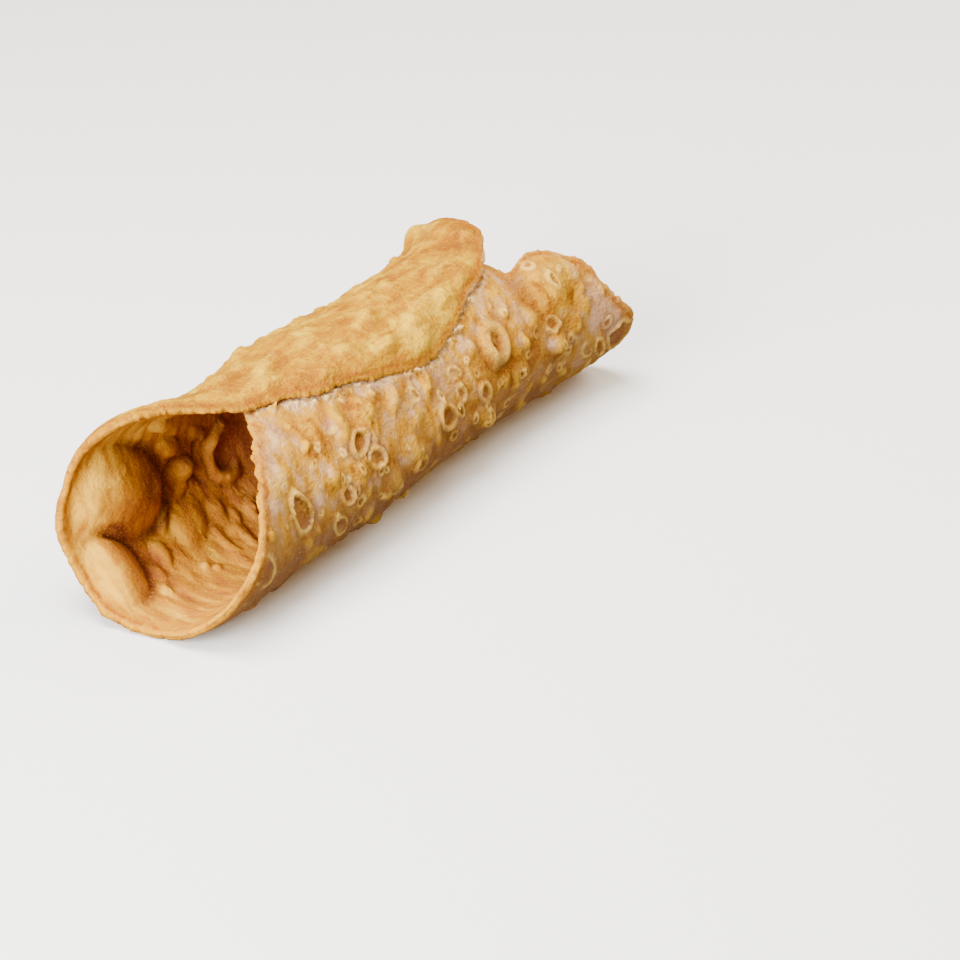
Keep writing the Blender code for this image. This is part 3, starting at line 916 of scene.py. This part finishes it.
# The inside, with painted shade deeper in and in its creases, and the cut edge.
INNER_CREAM = color(220, 166, 48)
INNER_GOLD = color(178, 116, 20)
INNER_BROWN = color(146, 82, 34)
INNER_TOAST = color(126, 68, 24)
INNER_DEEP_SHADE = color(164, 92, 60)
CREASE_SHADE_BROWN = color(88, 38, 26)
LIP_GOLD = color(204, 140, 12)
LIP_PALE = color(200, 140, 22)
LIP_ORANGE = color(150, 80, 10)


def fried_dough():
    """Crust of the whole shell: colours by place, blister and browning, with painted shade and highlight, and
    fine fried grain.
    """
    material = bpy.data.materials.new("fried_dough_crust")
    material.use_nodes = True
    tree = material.node_tree
    tree.nodes.clear()
    n = Nodes(tree)
    place = n.put("ShaderNodeCombineXYZ")
    n.feed(place.inputs[0], n.attribute("along_mm"))
    n.feed(place.inputs[1], n.attribute("arc_mm"))
    sheet = place.outputs[0]
    in_mm = n.put("ShaderNodeVectorMath", operation="SCALE")
    n.feed(in_mm.inputs[0], n.put("ShaderNodeTexCoord").outputs["Object"])
    in_mm.inputs["Scale"].default_value = 1000.0
    solid = in_mm.outputs[0]
    outside = n.ramp(n.attribute("outside"), 0.35, 0.65)
    on_flap = n.attribute("on_flap")
    height = n.attribute("height")
    rim = n.attribute("blister_rim")
    floor = n.attribute("blister_floor")
    top = n.attribute("blister_top")
    crease = n.attribute("blister_crease")
    lip = n.attribute("lip")
    warmth = n.math("MULTIPLY", n.attribute("warmth"), 0.30)

    # The flap: gold with long toasted streaks and pale patches.
    streaks = n.noise(n.stretch(sheet, (0.10, 0.55, 1.0)), 1.0, 5.0, 0.62, 0.5)
    patches = n.noise(solid, 0.22, 5.0, 0.62, 0.5)
    shade = n.math("ADD", n.spread(streaks, 1.9, 0.0), n.spread(patches, -2.1, 0.53))
    shade = n.math("ADD", shade, warmth)
    flap = n.colors(shade, [(0.10, FLAP_CREAM), (0.36, FLAP_PALE), (0.58, FLAP_GOLD), (0.95, FLAP_ORANGE)])
    # Paler blister tops on the flap: partly their cream colour, partly painted highlight.
    flap = n.mix(n.math("MULTIPLY", n.ramp(top, 0.3, 1.0), 0.45), flap, FLAP_CREAM)

    # The near side: floury in the lows, golden on the blisters, with painted shade in the hollows and on the
    # lower side towards the table.
    bands = n.noise(n.stretch(sheet, (0.34, 0.20, 1.0)), 1.0, 4.0, 0.55, 0.4)
    bloom = n.noise(solid, 0.24, 5.0, 0.6, 0.4)
    shade = n.math("ADD", n.spread(bands, 2.2, 0.0), n.spread(bloom, -1.7, 0.45))
    shade = n.math("ADD", shade, warmth)
    shade = n.math("ADD", shade, n.math("MULTIPLY", height, 0.14))
    near = n.colors(shade, [
        (0.00, FLOUR_LILAC), (0.26, FLOURED), (0.50, BEIGE), (0.72, GOLDEN), (1.0, ORANGE)])
    browned = n.ramp(n.noise(n.stretch(sheet, (0.30, 0.22, 1.0)), 1.0, 4.0, 0.6, 0.3), 0.50, 0.66)
    near = n.mix(n.math("MULTIPLY", browned, 0.50), near, ORANGE)
    # Towards the tail the painted shade of the hollows and the lower side is weaker.
    tail = n.ramp(n.attribute("along_mm"), 98.0, 112.0)
    kept = n.math("MULTIPLY_ADD", tail, -0.6, 1.0)
    # Painted shade in the hollows of the relief.
    low = n.ramp(n.math("MULTIPLY", height, -1.0), -0.15, 0.45)
    near = n.mix(n.math("MULTIPLY", n.math("MULTIPLY", low, 0.6), kept), near, HOLLOW_SHADE_PINK)
    # Painted shade on the lower side, darker towards the table.
    near = n.mix(n.math("MULTIPLY", n.math("MULTIPLY", n.attribute("underside"), 0.80), kept), near, UNDERSIDE_SHADE_TAN)
    # Paler blister tops: partly their own colour, partly painted highlight.
    near = n.mix(n.math("MULTIPLY", n.ramp(top, 0.4, 1.0), 0.50), near, PALE_CRUST_AND_HIGHLIGHT)
    # The near side's colours are set paler than the flap's: partly its flour, partly painted light that brings
    # the less lit near side up to the flap.
    outer = n.mix(on_flap, near, flap)
    outer = n.mix(n.math("MULTIPLY", floor, 0.7), outer, CRATER_BROWN)
    # Painted shade in creases, folds, grooves and pits, in the toasted brown.
    outer = n.mix(n.math("MULTIPLY", crease, 0.80), outer, TOASTED_AND_CREASE_SHADE)
    outer = n.mix(n.math("MULTIPLY", rim, 0.88), outer, RIM_CREAM)
    flour = n.math("MULTIPLY", n.ramp(n.noise(solid, 1.1, 4.0, 0.65), 0.38, 0.56), 0.85)
    outer = n.mix(n.math("MULTIPLY", n.attribute("under_flap"), flour), outer, CRUMB_WHITE)

    # The inside: golden near the mouth, with painted shade deeper in and in its creases.
    wrinkles = n.noise(n.stretch(sheet, (0.42, 0.14, 1.0)), 1.0, 2.5, 0.55, 0.5)
    shade = n.math("ADD", n.spread(wrinkles, 1.5, 0.42), warmth)
    inner = n.colors(shade, [(0.0, INNER_CREAM), (0.38, INNER_GOLD), (0.75, INNER_BROWN), (1.0, INNER_TOAST)])
    # Painted shade deeper inside the roll, fading again near the open tail.
    depth = n.ramp(n.attribute("along_mm"), 22.0, 55.0)
    from_tail = n.ramp(n.attribute("along_mm"), 118.0, 84.0)
    inner = n.mix(n.math("MULTIPLY", n.math("MULTIPLY", depth, from_tail), 0.75), inner, INNER_DEEP_SHADE)
    inner = n.mix(n.math("MULTIPLY", top, 0.25), inner, INNER_GOLD)
    # Painted shade in the inside's creases and folds.
    inner = n.mix(n.math("MULTIPLY", crease, 0.9), inner, CREASE_SHADE_BROWN)

    # The cut edge: gold with a paler core and a toasted line beside it.
    crust = n.mix(outside, inner, outer)
    edge_tint = n.noise(solid, 0.55, 4.0, 0.6)
    edge_gold = n.mix(on_flap, LIP_GOLD, FLAP_EDGE)
    crust = n.mix(n.math("MULTIPLY", n.attribute("edge"), 0.50), crust, edge_gold)
    crust = n.mix(n.math("MULTIPLY", n.attribute("edge_line"), n.ramp(edge_tint, 0.30, 0.60)), crust, LIP_ORANGE)
    by_corner = n.math("MULTIPLY", on_flap, n.ramp(n.attribute("along_mm"), 55.0, 80.0))
    cut_pale = n.mix(by_corner, LIP_PALE, FLOUR_LILAC)
    crust = n.mix(n.math("MULTIPLY", lip, n.ramp(edge_tint, 0.34, 0.66)), crust, cut_pale)
    blotches = n.ramp(n.noise(solid, 0.32, 4.0, 0.65), 0.50, 0.64)
    crust = n.mix(n.math("MULTIPLY", n.math("MULTIPLY", lip, blotches), 0.65), crust, LIP_ORANGE)

    # Fine fried speckle over everything.
    speckle = n.noise(solid, 1.3, 5.0, 0.7)
    crust = n.mix(n.math("MULTIPLY", n.ramp(speckle, 0.52, 0.70), 0.36), crust, TOASTED_AND_CREASE_SHADE)
    fine = n.noise(solid, 2.6, 3.0, 0.6)
    crust = n.mix(n.math("MULTIPLY", n.ramp(fine, 0.55, 0.70), 0.45), crust, PALE_CRUST_AND_HIGHLIGHT)

    grain = n.noise(solid, 1.7, 4.0, 0.65)
    bubbles = n.cells(solid, 1.0)
    relief = n.math("ADD", n.math("MULTIPLY", grain, 0.7), n.math("MULTIPLY", bubbles, 0.35))
    relief = n.math("MULTIPLY", relief, n.math("MULTIPLY_ADD", outside, 0.55, 0.45))
    bump = n.put("ShaderNodeBump")
    bump.inputs["Strength"].default_value = 0.8
    bump.inputs["Distance"].default_value = 0.0010
    n.feed(bump.inputs["Height"], relief)

    shader = n.put("ShaderNodeBsdfPrincipled")
    n.feed(shader.inputs["Base Color"], crust)
    n.feed(shader.inputs["Roughness"], n.math("MULTIPLY_ADD", grain, 0.35, 0.36))
    n.feed(shader.inputs["Normal"], bump.outputs["Normal"])
    shader.inputs["Specular IOR Level"].default_value = 0.03
    shader.inputs["Subsurface Weight"].default_value = 0.10
    shader.inputs["Subsurface Radius"].default_value = (1.0, 0.45, 0.18)
    shader.inputs["Subsurface Scale"].default_value = 0.001
    output = n.put("ShaderNodeOutputMaterial")
    n.feed(output.inputs["Surface"], shader.outputs["BSDF"])
    return material


def plain_floor():
    """A pale floor with a faint warm glow painted on it for the camera, and the soft warm light round it."""
    select_nothing()
    bpy.ops.mesh.primitive_plane_add(size=6.0)
    floor = bpy.context.object
    floor.name = "pale_floor"
    material = bpy.data.materials.new("pale_floor")
    material.use_nodes = True
    shader = material.node_tree.nodes["Principled BSDF"]
    n = Nodes(material.node_tree)
    seen = n.put("ShaderNodeLightPath").outputs["Is Camera Ray"]
    n.feed(shader.inputs["Base Color"], n.mix(seen, (0.28, 0.28, 0.28, 1.0), (0.94, 0.94, 0.93, 1.0)))
    shader.inputs["Roughness"].default_value = 0.9
    # A warm glow painted on the floor where the camera sees it, lightening and warming the shadow on it.
    shader.inputs["Emission Color"].default_value = (1.0, 0.50, 0.12, 1.0)
    n.feed(shader.inputs["Emission Strength"], n.math("MULTIPLY", seen, 0.15))
    floor.data.materials.append(material)
    world = bpy.data.worlds.new("studio")
    bpy.context.scene.world = world
    world.use_nodes = True
    world.node_tree.nodes["Background"].inputs["Color"].default_value = (1.0, 0.84, 0.66, 1.0)
    world.node_tree.nodes["Background"].inputs["Strength"].default_value = 0.17


def soft_box(name, place, size, power, tint=(1.0, 1.0, 1.0)):
    """A square studio light that looks at the shell."""
    light = bpy.data.lights.new(name, "AREA")
    light.size = size
    light.energy = power
    light.color = tint
    holder = bpy.data.objects.new(name, light)
    bpy.context.scene.collection.objects.link(holder)
    holder.location = place
    toward = Vector((0.0, 0.0, 0.015)) - holder.location
    holder.rotation_euler = toward.to_track_quat("-Z", "Y").to_euler()


def photo_camera():
    lens = bpy.data.cameras.new("photo_camera")
    lens.sensor_width = 36.0
    lens.lens = 18.0 / math.tan(math.radians(CAMERA_FIELD) / 2.0)
    lens.clip_start = 0.01
    holder = bpy.data.objects.new("photo_camera", lens)
    bpy.context.scene.collection.objects.link(holder)
    holder.location = CAMERA_PLACE
    turn = math.radians(CAMERA_TURN)
    down = math.radians(CAMERA_DOWN)
    look = Vector((math.cos(turn) * math.cos(down), math.sin(turn) * math.cos(down), -math.sin(down)))
    holder.rotation_euler = look.to_track_quat("-Z", "Y").to_euler()
    bpy.context.scene.camera = holder


shell = rolled_shell()
shell.data.materials.clear()
shell.data.materials.append(fried_dough())
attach(shell, "root")
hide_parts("shell")
plain_floor()
soft_box("overhead", (-0.09, 0.035, 0.62), 0.40, 10.0)
soft_box("front_left", (-0.57, 0.01, 0.27), 0.40, 14.5)
soft_box("tail_side", (0.30, -0.16, 0.30), 0.22, 1.7, (1.0, 0.88, 0.72))
photo_camera()
